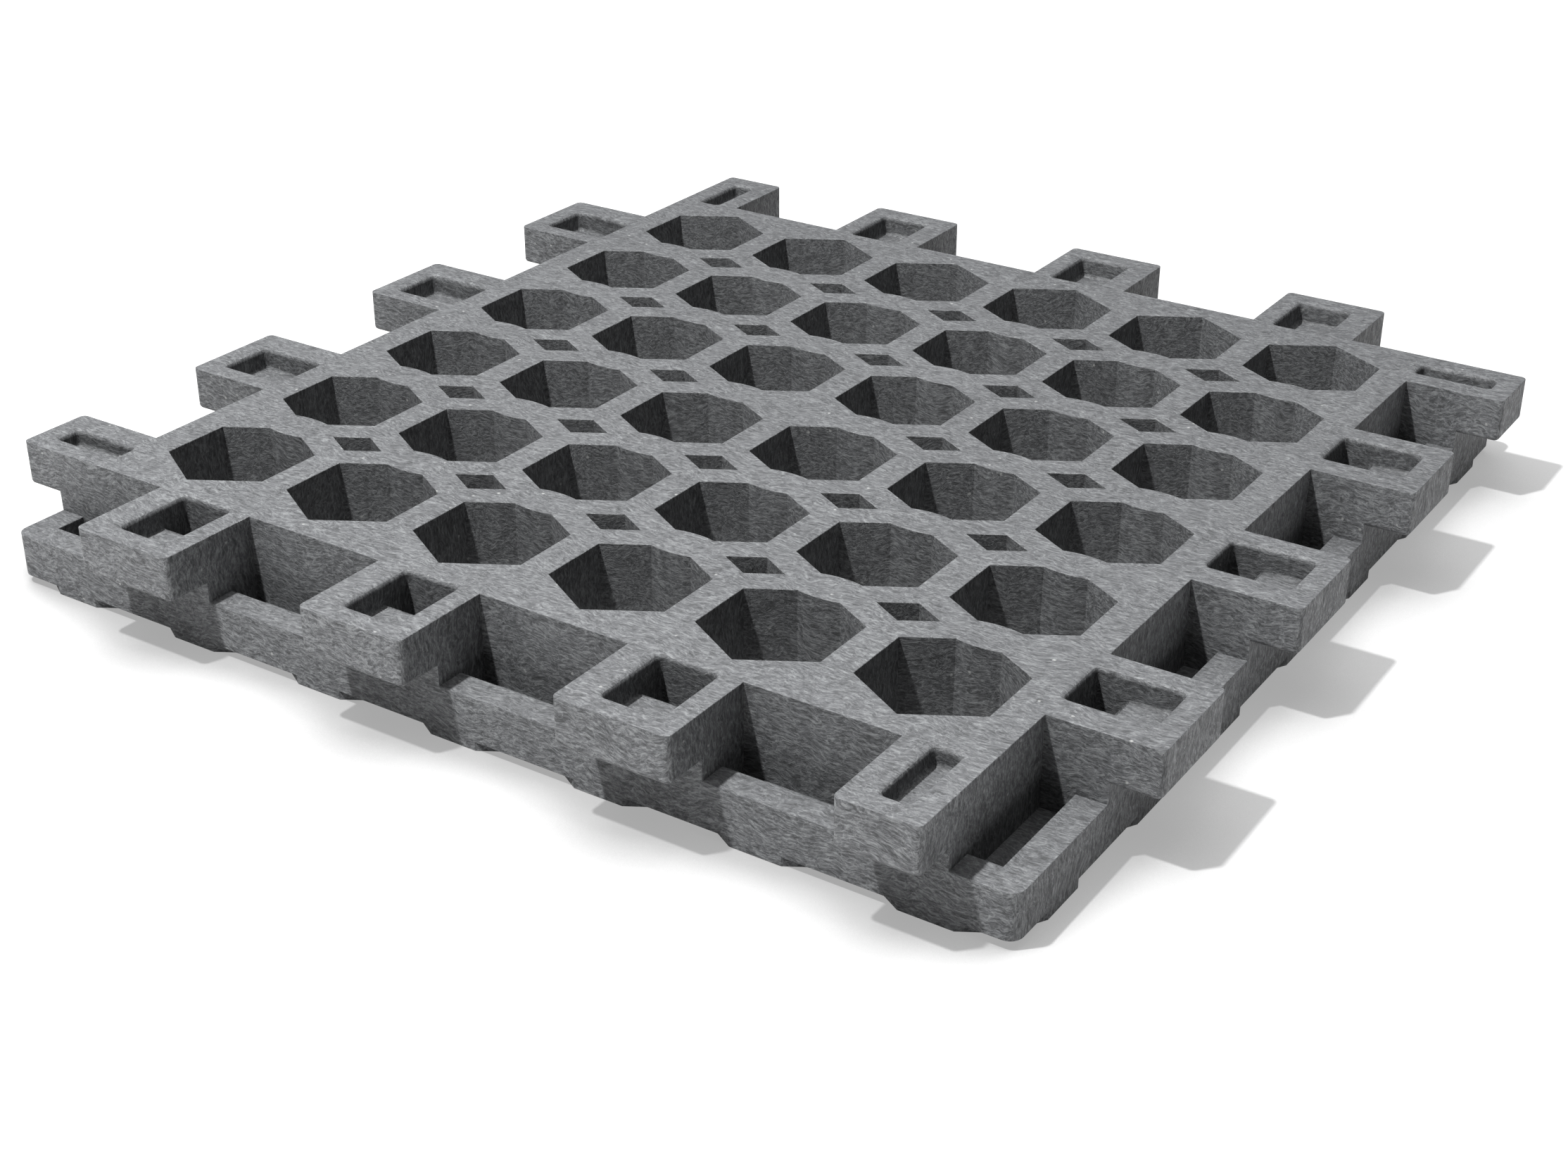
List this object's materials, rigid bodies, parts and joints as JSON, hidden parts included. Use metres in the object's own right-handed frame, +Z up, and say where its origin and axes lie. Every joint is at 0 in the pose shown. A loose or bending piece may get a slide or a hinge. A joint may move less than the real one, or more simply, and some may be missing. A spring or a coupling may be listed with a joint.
{
  "type": "grass paver grid",
  "caption": "Square interlocking ground grid of thick hexagonal cells for grass or gravel, with a low skirt and pocketed lugs on every side.",
  "frame": {"origin": "middle of the underside, on the ground", "axes": "+Z up out of the walking face; X and Y along the rows of cells, the cells' points towards +Y and -Y"},
  "size_m": [0.6046, 0.6046, 0.0594],
  "materials": {
    "recycled_plastic": "rough, mottled mid-grey, moulded from mixed recycled plastic"
  },
  "bodies": {
    "root": {"paver_grid": "recycled_plastic"}
  },
  "joints": []
}
